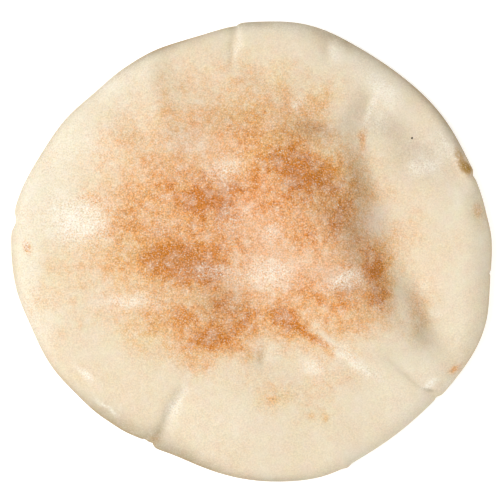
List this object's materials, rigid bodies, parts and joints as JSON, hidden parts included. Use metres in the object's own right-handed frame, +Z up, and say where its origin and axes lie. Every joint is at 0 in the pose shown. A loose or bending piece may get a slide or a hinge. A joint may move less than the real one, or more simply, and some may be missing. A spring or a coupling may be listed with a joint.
{
  "type": "pita bread",
  "caption": "Round flat pita bread, uncut and baked, with a rolled pale rim, a low puffed top with sunken creases and a flat underside.",
  "frame": {"origin": "middle of the bread's box, on the surface that it lies on", "axes": "+Z up through the bread, +X along its longest width, +Y away from the viewer in the top view"},
  "size_m": [0.1654, 0.1582, 0.0206],
  "materials": {
    "crust": "matt, floury, toasted in patches"
  },
  "bodies": {
    "root": {"pita": "crust"}
  },
  "joints": []
}
